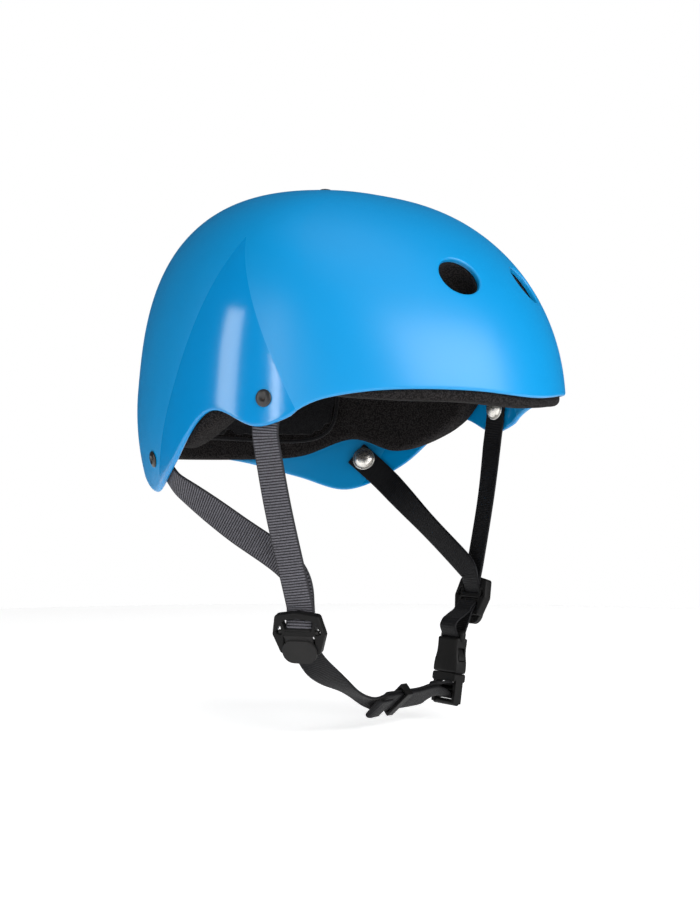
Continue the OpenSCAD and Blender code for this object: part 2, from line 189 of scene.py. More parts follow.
def place_of(points):
    """The inverse of skin: turn, elevation and depth of points inside the dome."""
    tilt = math.radians(DOME_TILT)
    x, y, z = points.T
    back, z = y * math.cos(tilt) + z * math.sin(tilt), z * math.cos(tilt) - y * math.sin(tilt)
    t, r = np.arctan2(x, -back), np.hypot(x, back)
    above, share = z > 0, 2 / power(t)
    low, high = np.zeros(len(points)), np.full(len(points), 60.0)
    for _ in range(40):
        d = (low + high) / 2
        outside = (np.maximum(z, 0) / (DOME_H - d))**share + (r / (plan(t) - d))**share > 1
        high, low = np.where(outside, d, high), np.where(outside, low, d)
    rise = (np.maximum(z, 0) / (DOME_H - d))**(1 / power(t))
    p = np.where(above, np.arcsin(np.clip(rise, 0, 1)), np.arcsin(np.clip(z / SKIRT_H, -1, 1)))
    d = np.where(above, d, plan(t) - r / spread(t, p))
    return np.degrees(t), np.degrees(p), d


def skin_basis(place):
    """A place's point on the skin and the two tangents and the outward normal there."""
    t, p = place
    n = unit(np.cross(skin(t + 0.2, p) - skin(t - 0.2, p), skin(t, p + 0.2) - skin(t, p - 0.2)))
    e1 = unit(np.cross(n, [0.3, 0.1, 1.0]))
    return skin(t, p), e1, np.cross(n, e1), n


def skin_over(place, uv, depth):
    """Points of the skin at a depth that lie over uv in the tangent plane of a place."""
    origin, e1, e2, _ = skin_basis(place)
    at = np.tile(np.array(place, float), (len(uv), 1))
    step = 0.01  # degrees, for the slopes
    for _ in range(12):
        t, p = at.T
        q = skin(t, p, depth) - origin
        jt = (skin(t + step, p, depth) - skin(t - step, p, depth)) / (2 * step)
        jp = (skin(t, p + step, depth) - skin(t, p - step, depth)) / (2 * step)
        fu, fv = q @ e1 - uv[:, 0], q @ e2 - uv[:, 1]
        a, b, c, d = jt @ e1, jp @ e1, jt @ e2, jp @ e2
        det = a * d - b * c
        at -= np.stack([(d * fu - b * fv) / det, (a * fv - c * fu) / det], 1)
    return skin(at[:, 0], at[:, 1], depth)


# ---- mesh helpers ----

def new_piece(name, points, faces, material, smooth_angle=None, attributes=None):
    """A mesh object from points in millimetres, with its faces turned outwards."""
    data = bpy.data.meshes.new(name)
    data.from_pydata((np.asarray(points, float) * MM).tolist(), [], [list(map(int, f)) for f in faces])
    for key, values in (attributes or {}).items():
        data.attributes.new(key, "FLOAT", "POINT").data.foreach_set("value", np.asarray(values, np.float32))
    bm = bmesh.new()
    bm.from_mesh(data)
    bmesh.ops.recalc_face_normals(bm, faces=bm.faces)
    bm.to_mesh(data)
    bm.free()
    data.shade_smooth()
    if smooth_angle is not None:
        data.set_sharp_from_angle(angle=math.radians(smooth_angle))
    data.materials.append(material)
    piece = bpy.data.objects.new(name, data)
    bpy.context.scene.collection.objects.link(piece)
    return piece


def applied(piece):
    """Applies a piece's modifiers to its mesh."""
    graph = bpy.context.evaluated_depsgraph_get()
    data = bpy.data.meshes.new_from_object(piece.evaluated_get(graph), preserve_all_data_layers=True,
                                           depsgraph=graph)
    piece.modifiers.clear()
    old, piece.data = piece.data, data
    bpy.data.meshes.remove(old)
    data.name = piece.name
    return piece


def ring_quads(a, b, count):
    """Quads between two rings of count points that start at indices a and b."""
    return [(a + i, a + (i + 1) % count, b + (i + 1) % count, b + i) for i in range(count)]


def inside(point, edges):
    """True if a plane point lies inside a closed outline given by its edges."""
    x, y = point
    crossings = 0
    for (x0, y0), (x1, y1) in edges:
        if (y0 > y) != (y1 > y) and x < x0 + (y - y0) * (x1 - x0) / (y1 - y0):
            crossings += 1
    return crossings % 2 == 1


def lathe(profile, place, segments=64):
    """Points and faces of a solid of revolution on the skin; its profile, from axis to axis, is pairs of
    radius and height."""
    origin, e1, e2, n = skin_basis(place)
    points, faces = [origin + n * profile[0][1]], []
    for r, z in profile[1:-1]:
        for i in range(segments):
            a = 2 * math.pi * i / segments
            points.append(origin + e1 * r * math.cos(a) + e2 * r * math.sin(a) + n * z)
    points.append(origin + n * profile[-1][1])
    rings, last = len(profile) - 2, len(points) - 1
    faces += [(0, 1 + (i + 1) % segments, 1 + i) for i in range(segments)]
    for k in range(rings - 1):
        faces += ring_quads(1 + k * segments, 1 + (k + 1) * segments, segments)
    foot = 1 + (rings - 1) * segments
    faces += [(last, foot + i, foot + (i + 1) % segments) for i in range(segments)]
    return points, faces


def lathed(name, profile, places, material):
    """Equal turned parts on several places of the skin, in one piece."""
    points, faces = [], []
    for place in places:
        more, sides = lathe(profile, place)
        faces += [tuple(i + len(points) for i in f) for f in sides]
        points += more
    return new_piece(name, points, faces, material, 40)


def arc(centre, radius, a0, a1, steps):
    """Points of an arc in a profile, from angle a0 to a1 in degrees."""
    return [(centre[0] + radius * math.cos(math.radians(a)), centre[1] + radius * math.sin(math.radians(a)))
            for a in np.linspace(a0, a1, steps + 1)]


def tube(path, radius, sides=8):
    """Points and faces of a round tube along a closed path."""
    count = len(path)
    points, faces = [], []
    along = unit(np.roll(path, -1, 0) - np.roll(path, 1, 0))
    side = unit(np.cross(along[0], [0.3, 0.5, 0.8]))
    for i in range(count):
        side = unit(side - along[i] * (side @ along[i]))
        other = np.cross(along[i], side)
        for k in range(sides):
            a = 2 * math.pi * k / sides
            points.append(path[i] + radius * (side * math.cos(a) + other * math.sin(a)))
    for i in range(count):
        faces += ring_quads(i * sides, (i + 1) % count * sides, sides)
    return points, faces


# ---- materials ----

class Nodes:
    """Short calls for building one material's nodes."""

    def __init__(self, name, colour, roughness, **sockets):
        self.material = bpy.data.materials.new(name)
        self.material.use_nodes = True
        self.tree = self.material.node_tree
        self.shader = self.tree.nodes["Principled BSDF"]
        self.shader.inputs["Base Color"].default_value = (*colour, 1)
        self.shader.inputs["Roughness"].default_value = roughness
        for key, value in sockets.items():
            self.shader.inputs[key.replace("_", " ")].default_value = value
        self.where = self.tree.nodes.new("ShaderNodeTexCoord").outputs["Object"]

    def link(self, a, b):
        self.tree.links.new(a, b)

    def noise(self, scale, detail=3.0, roughness=0.5, stretch=None):
        node = self.tree.nodes.new("ShaderNodeTexNoise")
        node.inputs["Scale"].default_value = scale
        node.inputs["Detail"].default_value = detail
        node.inputs["Roughness"].default_value = roughness
        where = self.where
        if stretch:
            mapping = self.tree.nodes.new("ShaderNodeMapping")
            mapping.inputs["Scale"].default_value = stretch
            self.link(self.where, mapping.inputs["Vector"])
            where = mapping.outputs["Vector"]
        self.link(where, node.inputs["Vector"])
        return node.outputs["Fac"]

    def cells(self, scale):
        node = self.tree.nodes.new("ShaderNodeTexVoronoi")
        node.inputs["Scale"].default_value = scale
        self.link(self.where, node.inputs["Vector"])
        return node.outputs["Distance"]

    def attribute(self, name):
        node = self.tree.nodes.new("ShaderNodeAttribute")
        node.attribute_name = name
        return node.outputs["Fac"]

    def remap(self, value, a, b, c, d):
        """Turns the range a to b into c to d, smoothly and held at its ends."""
        node = self.tree.nodes.new("ShaderNodeMapRange")
        node.interpolation_type = "SMOOTHSTEP"
        for key, number in zip(("From Min", "From Max", "To Min", "To Max"), (a, b, c, d)):
            node.inputs[key].default_value = number
        self.link(value, node.inputs["Value"])
        return node.outputs["Result"]

    def math(self, operation, a, b):
        node = self.tree.nodes.new("ShaderNodeMath")
        node.operation = operation
        for socket, value in zip(node.inputs, (a, b)):
            if isinstance(value, (int, float)):
                socket.default_value = value
            else:
                self.link(value, socket)
        return node.outputs["Value"]

    def mix(self, share, a, b):
        """Colour a where share is 0 and b where it is 1; either may be a colour or a socket."""
        node = self.tree.nodes.new("ShaderNodeMix")
        node.data_type = "RGBA"
        self.link(share, node.inputs["Factor"])
        for key, value in (("A", a), ("B", b)):
            socket = [s for s in node.inputs if s.name == key and s.type == "RGBA"][0]
            if isinstance(value, tuple):
                socket.default_value = (*value, 1)
            else:
                self.link(value, socket)
        return [s for s in node.outputs if s.type == "RGBA"][0]

    def colour(self, socket):
        self.link(socket, self.shader.inputs["Base Color"])

    def rough(self, socket):
        self.link(socket, self.shader.inputs["Roughness"])

    def bump(self, height, distance, strength=1.0):
        """Adds a bump, distance in metres, on top of the ones before it."""
        node = self.tree.nodes.new("ShaderNodeBump")
        node.inputs["Distance"].default_value = distance
        node.inputs["Strength"].default_value = strength
        self.link(height, node.inputs["Height"])
        if self.shader.inputs["Normal"].is_linked:
            self.link(self.shader.inputs["Normal"].links[0].from_socket, node.inputs["Normal"])
        self.link(node.outputs["Normal"], self.shader.inputs["Normal"])


# The glossy sweep on each side: a wedge between two planes that lean to meet above, off the top and back.
SWEEP_REAR, SWEEP_FRONT, SWEEP_EDGE = 0.035, -0.05, 0.0002
SWEEP_REAR_LEAN, SWEEP_FRONT_LEAN = 0.5, 0.475
SWEEP_INSIDE, SWEEP_FULL = 0.04, 0.05


def shell_paint():
    """Satin blue, with a plain glossy sweep over each side."""
    m = Nodes("shell_paint", (0.0, 0.26, 0.6), 0.34, IOR=1.52)
    split = m.tree.nodes.new("ShaderNodeSeparateXYZ")
    m.link(m.where, split.inputs[0])
    x, y, z = split.outputs
    behind = m.math("ADD", y, m.math("MULTIPLY", z, SWEEP_REAR_LEAN))
    ahead = m.math("SUBTRACT", y, m.math("MULTIPLY", z, SWEEP_FRONT_LEAN))
    wedge = m.math("MULTIPLY", m.remap(behind, SWEEP_REAR - SWEEP_EDGE, SWEEP_REAR + SWEEP_EDGE, 1, 0),
                   m.remap(ahead, SWEEP_FRONT - SWEEP_EDGE, SWEEP_FRONT + SWEEP_EDGE, 0, 1))
    sweep = m.math("MULTIPLY", wedge, m.remap(m.math("ABSOLUTE", x, 0), SWEEP_INSIDE, SWEEP_FULL, 0, 1))
    cloud = m.mix(m.noise(7, 2), (0.0, 0.255, 0.585), (0.0, 0.27, 0.615))
    m.colour(m.mix(sweep, cloud, (0.0, 0.24, 0.575)))
    grain = m.noise(900, 2)
    m.rough(m.math("ADD", m.remap(sweep, 0, 1, 0.36, 0.13), m.remap(grain, 0.3, 0.7, -0.02, 0.03)))
    m.bump(m.noise(420, 2), 0.00002, 0.4)
    m.bump(m.noise(60, 1), 0.00008, 0.2)
    return m.material


def liner_foam():
    """Closed-cell foam: dark, matt and finely speckled."""
    m = Nodes("liner_foam", (0.02, 0.019, 0.018), 0.95, Specular_IOR_Level=0.1)
    cells = m.cells(1300)
    m.colour(m.mix(m.remap(cells, 0.15, 0.75, 0, 1), (0.03, 0.027, 0.027), (0.006, 0.0055, 0.0055)))
    m.bump(cells, 0.0003, 0.8)
    m.bump(m.noise(320, 3), 0.0003, 0.35)
    return m.material


def pad_cloth():
    """Brushed knit with a fine loop pile."""
    m = Nodes("pad_cloth", (0.012, 0.012, 0.013), 0.95, Specular_IOR_Level=0.1, Sheen_Weight=0.12,
              Sheen_Roughness=0.5)
    loops = m.cells(1500)
    m.colour(m.mix(m.remap(loops, 0.1, 0.8, 0, 1), (0.014, 0.014, 0.015), (0.004, 0.004, 0.005)))
    m.bump(loops, 0.0003, 0.8)
    m.bump(m.noise(220, 3), 0.0003, 0.4)
    return m.material


def ribbed_webbing():
    """Woven polyester, with painted highlights on its ribs, painted shade in its grooves and a plain edge."""
    m = Nodes("ribbed_webbing", (0.02, 0.02, 0.022), 0.6, Specular_IOR_Level=0.2, Sheen_Weight=0.05,
              Sheen_Roughness=0.4)
    # The rib attribute holds painted light: highlights on the rib crests, shade in the grooves and on a face
    # painted shaded.
    rib = m.attribute("rib")
    thread = m.noise(1400, 2)
    painted_rib_shading = m.mix(m.remap(rib, 0.15, 0.95, 0, 1), (0.002, 0.002, 0.003), (0.125, 0.122, 0.14))
    m.colour(m.mix(m.remap(thread, 0.35, 0.75, 0, 0.4), painted_rib_shading, (0.006, 0.006, 0.007)))
    m.rough(m.remap(thread, 0.3, 0.7, 0.5, 0.75))
    m.bump(thread, 0.00012, 0.6)
    return m.material


def moulded_plastic(name, tone, roughness):
    """Black acetal with a fine spark-eroded texture."""
    m = Nodes(name, (tone, tone, tone), roughness, Specular_IOR_Level=0.13)
    grain = m.noise(1600, 2)
    dark, light = (tone * 0.8, tone * 0.8, tone * 0.82), (tone * 1.25, tone * 1.2, tone * 1.18)
    m.colour(m.mix(m.noise(90, 3), dark, light))
    m.rough(m.remap(grain, 0.3, 0.7, roughness - 0.06, roughness + 0.08))
    m.bump(grain, 0.00004, 0.5)
    return m.material


def rivet_enamel():
    """Black enamel over brass, worn thin in places."""
    m = Nodes("rivet_enamel", (0.012, 0.011, 0.011), 0.35, Coat_Weight=0.2)
    wear = m.remap(m.noise(700, 4, 0.7), 0.55, 0.72, 0, 1)
    m.colour(m.mix(wear, (0.012, 0.011, 0.011), (0.05, 0.03, 0.022)))
    m.rough(m.remap(m.noise(500, 2), 0.3, 0.7, 0.28, 0.5))
    m.bump(m.noise(900, 2), 0.00003, 0.5)
    return m.material


def nickel_plate():
    """Nickel, faintly brushed."""
    m = Nodes("nickel_plate", (0.82, 0.79, 0.74), 0.3, Metallic=1.0)
    brushed = m.noise(900, 2, 0.5, (1, 1, 4))
    m.colour(m.mix(m.noise(120, 2), (0.76, 0.73, 0.68), (0.88, 0.85, 0.8)))
    m.rough(m.remap(brushed, 0.3, 0.7, 0.24, 0.38))
    m.bump(brushed, 0.000004, 0.3)
    return m.material


# ---- shell and liner ----

class Dome:
    """A dome between two depths with a rounded rim and round holes, built ring by ring."""

    COLLAR = 1.4  # an even band of faces round each hole
    CLEARING = 3.2  # how far past a hole's lip the dome's own faces are taken away
    SEGMENTS = 72  # round a hole

    def __init__(self, rim, outer, inner, turns, rows, edge_r):
        self.faces = []
        turn = np.arange(turns) * 360 / turns
        low = rim_at(rim, turn)
        rise = [(k / rows)**1.25 for k in range(rows)]  # closer rows near the rim
        start = [self.above_rim(turn, low, depth, edge_r) for depth in (outer, inner)]
        rings = [skin(turn, start[0] + (90 - start[0]) * share, outer) for share in reversed(rise)]
        rings += self.rim_rings(turn, low, start, outer, inner, edge_r)
        rings += [skin(turn, start[1] + (90 - start[1]) * share, inner) for share in rise]
        self.points = [p for ring in rings for p in ring]
        for k in range(len(rings) - 1):
            self.faces += ring_quads(k * turns, (k + 1) * turns, turns)
        first, last = len(self.points), len(self.points) + 1
        self.points += [skin(0, 90, outer), skin(0, 90, inner)]
        foot = (len(rings) - 1) * turns
        self.faces += [(first, (i + 1) % turns, i) for i in range(turns)]
        self.faces += [(last, foot + i, foot + (i + 1) % turns) for i in range(turns)]
        self.side = {outer: range(0, rows * turns), inner: range(foot - (rows - 1) * turns, foot + turns)}

    @staticmethod
    def above_rim(turn, low, depth, gap):
        """The elevation at which the skin is gap above the rim."""
        a, b = low.copy(), low + 30
        for _ in range(30):
            mid = (a + b) / 2
            far = np.linalg.norm(skin(turn, mid, depth) - skin(turn, low, depth), axis=1) > gap
            b, a = np.where(far, mid, b), np.where(far, a, mid)
        return b

    @staticmethod
    def rim_rings(turn, low, start, outer, inner, r, steps=5):
        """The rings that round the rim from the outer face to the inner one."""
        corner = [skin(turn, low, depth) for depth in (outer, inner)]
        top = [skin(turn, start[0], outer), skin(turn, start[1], inner)]
        across = unit(corner[1] - corner[0])
        down = [unit(corner[s] - top[s]) for s in (0, 1)]
        rings = []
        for b in np.linspace(0, math.pi / 2, steps + 1)[1:]:
            rings.append(top[0] + across * r * (1 - math.cos(b)) + down[0] * r * math.sin(b))
        for b in np.linspace(0, math.pi / 2, steps + 1)[:-1]:
            rings.append(top[1] - across * r * (1 - math.sin(b)) + down[1] * r * math.cos(b))
        return rings

    def open_face(self, place, depth, ring_r):
        """Opens one face round a place and fills it back up to a collar round ring_r; returns the index of
        the collar's inner ring."""
        origin, e1, e2, n = skin_basis(place)
        index = np.array(self.side[depth])
        rel = np.array([self.points[i] for i in index]) - origin
        uv = np.stack([rel @ e1, rel @ e2], 1)
        near = (np.hypot(uv[:, 0], uv[:, 1]) < ring_r + self.CLEARING) & (rel @ n > -40)
        gone, plane = set(index[near].tolist()), dict(zip(index.tolist(), uv.tolist()))
        cut = [f for f in self.faces if any(i in gone for i in f)]
        self.faces = [f for f in self.faces if not any(i in gone for i in f)]
        sides = {}
        for f in cut:
            for a, b in zip(f, f[1:] + f[:1]):
                sides[frozenset((a, b))] = sides.get(frozenset((a, b)), 0) + 1
        border = [tuple(s) for s, count in sides.items() if count == 1]
        outline = [(plane[a], plane[b]) for a, b in border]
        segments, collar_r = self.SEGMENTS, ring_r + self.COLLAR
        angle = np.arange(segments) * 2 * math.pi / segments
        circle = np.stack([np.cos(angle), np.sin(angle)], 1)
        rings = []
        for r in (ring_r, collar_r):
            rings.append(len(self.points))
            self.points += list(skin_over(place, circle * r, depth))
        self.faces += ring_quads(rings[0], rings[1], segments)
        known = sorted({i for pair in border for i in pair})
        spots = [Vector(plane[i]) for i in known] + [Vector(c) for c in circle * collar_r]
        where = {i: k for k, i in enumerate(known)}
        edges = [(where[a], where[b]) for a, b in border]
        edges += [(len(known) + i, len(known) + (i + 1) % segments) for i in range(segments)]
        _, _, triangles, origins, _, _ = delaunay_2d_cdt(spots, edges, [], 0, 1e-6)
        names = known + list(range(rings[1], rings[1] + segments))
        for f in triangles:
            ids = [origins[i][0] for i in f]
            centre = sum((spots[i] for i in ids), Vector((0, 0))) / 3
            if centre.length > collar_r - 0.01 and inside(centre, outline):
                self.faces.append(tuple(names[i] for i in ids))
        return rings[0]

    def vent(self, place, outer, inner, radius, lip, inner_lip):
        """A round hole with rounded lips through both faces."""
        axis, _, _, n = skin_basis(place)
        top = self.open_face(place, outer, radius + lip)
        foot = self.open_face(place, inner, radius + inner_lip)
        segments, rings = self.SEGMENTS, [top]
        for ring, r, sign, span in ((top, lip, -1, (1, 2, 3, 4)), (foot, inner_lip, 1, (4, 3, 2, 1))):
            edge = np.array(self.points[ring:ring + segments])
            flat = edge - axis
            out = unit(flat - np.outer(flat @ n, n))
            for k in span:
                b = k * math.pi / 8
                rings.append(len(self.points))
                self.points += list(edge - out * r * math.sin(b) + n * sign * r * (1 - math.cos(b)))
        rings.append(foot)
        for a, b in zip(rings, rings[1:]):
            self.faces += ring_quads(a, b, segments)


def make_shell(material):
    dome = Dome(SHELL_RIM, 0.0, SHELL_T, 216, 84, SHELL_T / 2 - 0.05)
    for place in VENTS:
        dome.vent(place, 0.0, SHELL_T, VENT_R, 1.1, 0.5)
    shell = new_piece("helmet_shell", dome.points, dome.faces, material, 50)
    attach(shell, "helmet")
    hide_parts("outer_shell")


def make_liner(material):
    inner = LINER_DEPTH + LINER_T
    dome = Dome(LINER_RIM, LINER_DEPTH, inner, 180, 60, 3.6)
    for place in VENTS:
        dome.vent(place, LINER_DEPTH, inner, VENT_R - 0.5, 0.8, 2.2)
    liner = new_piece("liner", dome.points, dome.faces, material, 60)
    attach(liner, "helmet")
    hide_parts("foam_liner")


# ---- pads ----

# The remesh's voxel, how far the cloth may swell, and how much thinner a pad starts on each face.
PAD_VOXEL, PAD_SWELL, PAD_SLACK = 4.0, 1.3, 1.2
CLOTH_FRAMES = 20
# Turn from and to, elevation from and to, and the number of sewn channels across.
PAD_AREAS = {"brow_pad": (-51, 51, 10.5, 25.5, 3), "nape_pad": (133, 227, -8.3, 15.4, 3),
             "left_side_pad": (67, 115, 12.6, 33.4, 2), "right_side_pad": (-115, -67, 12.6, 33.4, 2)}
NO_SEAM = 99


def puffed(piece):
    """Remeshes a pad, swells it as cloth under pressure and smooths it."""
    remesh = piece.modifiers.new("remesh", "REMESH")
    remesh.mode, remesh.voxel_size = "VOXEL", PAD_VOXEL * MM
    applied(piece)
    start = np.array([v.co for v in piece.data.vertices])
    cloth = piece.modifiers.new("cloth", "CLOTH")
    cloth.settings.use_pressure = True
    cloth.settings.uniform_pressure_force = 4
    cloth.settings.effector_weights.gravity = 0
    cloth.point_cache.frame_start, cloth.point_cache.frame_end = 1, CLOTH_FRAMES
    for number in range(1, CLOTH_FRAMES + 1):
        bpy.context.scene.frame_set(number)
    graph = bpy.context.evaluated_depsgraph_get()
    swollen = np.array([v.co for v in piece.evaluated_get(graph).data.vertices])
    piece.modifiers.clear()
    bpy.context.scene.frame_set(1)
    move = swollen - start
    length = np.maximum(np.linalg.norm(move, axis=1, keepdims=True), 1e-9)
    move *= np.minimum(1, PAD_SWELL * MM / length)
    piece.data.vertices.foreach_set("co", (start + move).ravel())
    subdivision = piece.modifiers.new("subdivision", "SUBSURF")
    subdivision.levels = subdivision.render_levels = 1
    applied(piece)
    piece.data.shade_smooth()
    return piece


def sewn(piece, seams, depth=1.5, width=2.4):
    """Presses sewn channels into the face of a pad that touches the head; seams gives the distance to them
    in mm."""
    co = np.array([v.co for v in piece.data.vertices]) / MM
    turn, elevation, deep = place_of(co)
    face = np.clip((deep - PAD_DEPTH - PAD_T * 0.45) / (PAD_T * 0.3), 0, 1)
    away = seams(turn, elevation)
    groove = depth * np.exp(-(away / width)**2) * face
    moved = skin(turn, elevation, deep - groove)
    piece.data.vertices.foreach_set("co", (moved * MM).ravel())


def pad_outline(t0, t1, p0, p1, inset, count=120):
    """Turns and elevations round a pad's border, with its corners rounded."""
    a = np.linspace(0, 2 * math.pi, count, endpoint=False)
    u, v = np.cos(a), np.sin(a)
    k = 1 / np.power(np.abs(u)**5 + np.abs(v)**5, 0.2)
    u, v = u * k * (1 - inset), v * k * (1 - inset)
    return (t0 + t1) / 2 + (t1 - t0) / 2 * u, (p0 + p1) / 2 + (p1 - p0) / 2 * v


def pad_body(name, t0, t1, p0, p1, material):
    """A pad's starting shape: thick in the middle, thinner and rounded at its border."""
    steps, count = 9, 96
    points, faces = [], []
    for sign in (-1, 1):
        for k in range(1, steps + 1):
            share = k / steps
            turn, elevation = pad_outline(t0, t1, p0, p1, 1 - share, count)
            half = (PAD_T / 2 - PAD_SLACK) * math.sqrt(1 - (share * 0.93)**6)
            points += list(skin(turn, elevation, PAD_DEPTH + PAD_T / 2 + sign * half))
    middle = [len(points), len(points) + 1]
    points += [skin((t0 + t1) / 2, (p0 + p1) / 2, PAD_DEPTH + PAD_SLACK),
               skin((t0 + t1) / 2, (p0 + p1) / 2, PAD_DEPTH + PAD_T - PAD_SLACK)]
    for s in (0, 1):
        base = s * steps * count
        faces += [(middle[s], base + i, base + (i + 1) % count) for i in range(count)]
        for k in range(steps - 1):
            faces += ring_quads(base + k * count, base + (k + 1) * count, count)
    faces += ring_quads((steps - 1) * count, (2 * steps - 1) * count, count)
    return new_piece(name, points, faces, material)


def make_pads(cloth):
    """The brow, nape, side and crown pads, each with its piped border and sewn channels."""
    for name, (t0, t1, p0, p1, channels) in PAD_AREAS.items():
        pad = puffed(pad_body(name + "_cushion", t0, t1, p0, p1, cloth))
        centres = [t0 + (t1 - t0) * (i + 1) / (channels + 1) for i in range(channels)]

        def across(turn, elevation, centres=centres, t0=t0, t1=t1, p0=p0, p1=p1):
            turn = np.where((turn < 0) & (t1 > 180), turn + 360, turn)
            width = 1.6 * np.cos(np.radians(np.maximum(elevation, 0)))
            lines = np.min([np.abs(turn - c) for c in centres], axis=0) * width
            u, v = (turn - (t0 + t1) / 2) / ((t1 - t0) / 2), (elevation - (p0 + p1) / 2) / ((p1 - p0) / 2)
            border = np.abs((np.abs(u)**5 + np.abs(v)**5)**0.2 - 0.82) * 18
            return np.minimum(np.where(border < 6, NO_SEAM, lines), border)

        sewn(pad, across)
        finish_pad(pad, name, pad_outline(t0, t1, p0, p1, 0.0), cloth)
    dome = Dome(CROWN_PAD_RIM, PAD_DEPTH + 1.0, PAD_DEPTH + PAD_T - PAD_SLACK, 72, 10, 2.2)
    crown = puffed(new_piece("crown_pad_cushion", dome.points, dome.faces, cloth))

    def rings_and_spokes(turn, elevation):
        out = (90 - elevation) * 1.7
        ring = np.abs(out - 26)
        spokes = np.abs((turn + 30) % 60 - 30) * out * 0.0175
        return np.minimum(ring, np.where((out > 8) & (out < 25), spokes, NO_SEAM))

    sewn(crown, rings_and_spokes)
    turn = np.linspace(0, 360, 120, endpoint=False)
    finish_pad(crown, "crown_pad", (turn, np.full(120, CROWN_PAD_RIM[0] + 0.6)), cloth)


def finish_pad(pad, node, outline, cloth):
    """Adds the piping round a pad's border and puts both on the helmet."""
    turn, elevation = outline
    points, faces = tube(skin(turn, elevation, PAD_DEPTH + PAD_T / 2), 1.1)
    piping = new_piece(node + "_piping", points, faces, cloth)
    for piece in (pad, piping):
        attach(piece, "helmet")
    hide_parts(node)


# ---- webbing ----

def posed(v, tip):
    """A direction outwards, rearwards and up on hardware that leans by tip, in the helmet's frame."""
    v, a, b = np.asarray(v, float), math.radians(tip), math.radians(YAW)
    x, y = v[..., 0] * math.cos(a) + v[..., 2] * math.sin(a), v[..., 1]
    z = v[..., 2] * math.cos(a) - v[..., 0] * math.sin(a)
    return np.stack([x * math.cos(b) + y * math.sin(b), y * math.cos(b) - x * math.sin(b), z], -1)


def on_divider(drop, v):
    return DIVIDER_AT - np.array([0, 0, drop]) + posed(v, LEAN)


def on_buckle(v):
    return BUCKLE_AT + posed(v, BUCKLE_LEAN)


def six(point, across):
    """A station of webbing: its centre and the direction of its width."""
    return np.concatenate([point, unit(across)])


# The width of the doubled chin webbing, the way its face looks, and its width where it nears the buckle.
FLAT = unit([-0.16, -0.72, 0.62])
FACING = unit(np.cross([1, 0, 0], FLAT))
NEAR_BUCKLE = [-0.3, -0.95, 0.1]


def doubled(x, layer, lift=0.0):
    """A station of the doubled chin webbing: layer 1 leads to the buckle, -1 is the tail, and its fold lies
    below -1."""
    return six(KEEPER_AT * [0, 1, 1] + [x, 0, lift] - FACING * layer * (WEB_T / 2 + 0.2), FLAT)


def tab_run(places):
    """Stations of webbing that lies flat against the inside of the shell."""
    points = [skin(t, p, WEB_DEPTH) for t, p in places]
    last = len(points) - 1
    return [six(points[i], np.cross(skin_basis(places[i])[3],
                                    points[min(i + 1, last)] - points[max(i - 1, 0)]))
            for i in range(last + 1)]


def even_run(stations, pitch, soften):
    """Stations at an even pitch, with bends softened over a length in mm; the ends keep their places."""
    run = np.array(stations, float)
    for i in range(1, len(run)):
        if run[i, 3:] @ run[i - 1, 3:] < 0:
            run[i, 3:] *= -1
    far = np.concatenate([[0], np.cumsum(np.linalg.norm(np.diff(run[:, :3], axis=0), axis=1))])
    count = max(int(far[-1] / pitch), 8)
    at = np.linspace(0, far[-1], count + 1)
    run = np.stack([np.interp(at, far, run[:, k]) for k in range(6)], 1)
    reach = int(soften / pitch / 2)
    if reach > 0:
        for _ in range(3):
            padded = np.vstack([2 * run[0] - run[reach:0:-1], run, 2 * run[-1] - run[-2:-reach - 2:-1]])
            total = np.cumsum(np.vstack([np.zeros((1, 6)), padded]), axis=0)
            run = (total[2 * reach + 1:] - total[:-2 * reach - 1]) / (2 * reach + 1)
    return run


# Half the webbing's section: places across its width, its half thickness there as a share, and how much
# of the ribs' height each place has.
SECTION_U = np.array([-1, -0.985, -0.93, -0.86, -0.6, -0.3, 0, 0.3, 0.6, 0.86, 0.93, 0.985, 1])
SECTION_T = np.array([0.25, 0.7, 0.95, 0.86, 0.86, 0.86, 0.86, 0.86, 0.86, 0.86, 0.95, 0.7, 0.25])
SECTION_RIB = np.array([0, 0, 0.2, 1, 1, 1, 1, 1, 1, 1, 0.2, 0, 0])
# How high the ribs stand in mm and the painted light of the plain edge; then the painted light of a shaded
# face and of a lit face.
RIB_HEIGHT, EDGE_PAINTED_LIGHT = 0.17, 0.35
SHADED, LIT = 0.1, 1.0


